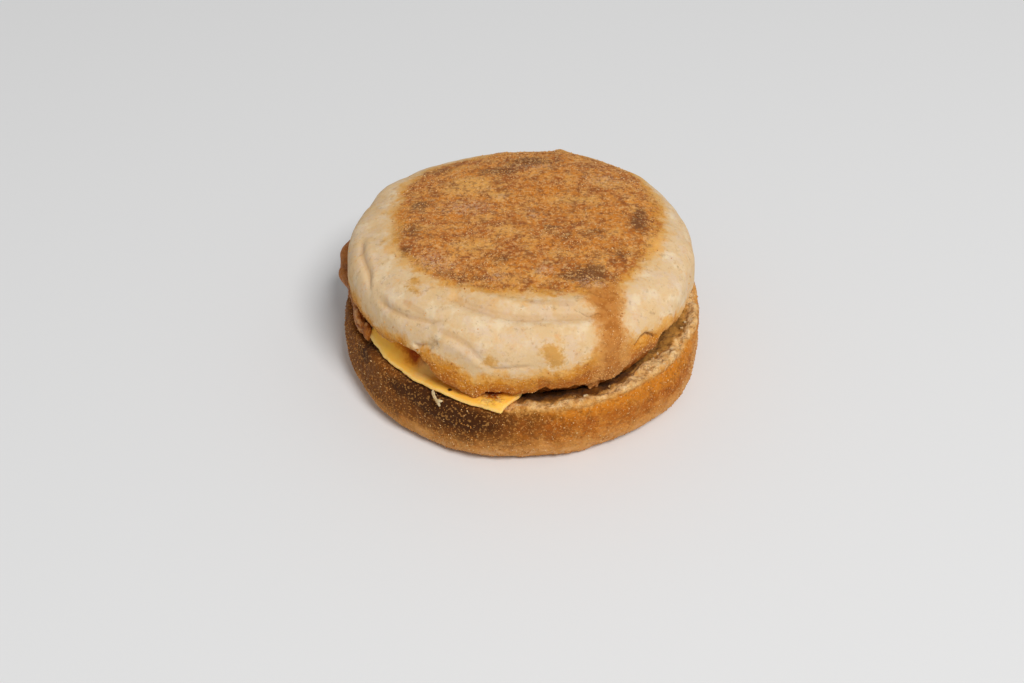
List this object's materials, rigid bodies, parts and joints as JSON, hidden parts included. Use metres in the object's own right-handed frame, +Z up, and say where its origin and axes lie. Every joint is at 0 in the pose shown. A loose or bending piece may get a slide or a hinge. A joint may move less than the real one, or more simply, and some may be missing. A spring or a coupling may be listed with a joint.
{
  "type": "breakfast sandwich",
  "caption": "Split griddled muffin holding a browned round patty and a draped strip of yellow cheese, standing on its flat base.",
  "frame": {"origin": "centre of the flat underside of the bottom half, where the sandwich rests", "axes": "+Z up through the layers; the cheese that hangs out is at the front, towards -Y; +X to the right of someone who faces the front"},
  "size_m": [0.0978, 0.0961, 0.0422],
  "materials": {
    "bottom_crust": "matt griddled bread crust, dark golden brown, dusted with semolina",
    "browned_meat": "fried ground meat, brown with a faint fat sheen",
    "cheese": "soft processed cheese, satin",
    "top_crust": "matt pale bread crust with a griddled brown crown"
  },
  "bodies": {
    "root": {"bottom_muffin": "bottom_crust", "sausage_patty": "browned_meat", "cheese_slice": "cheese", "top_muffin": "top_crust"}
  },
  "joints": []
}
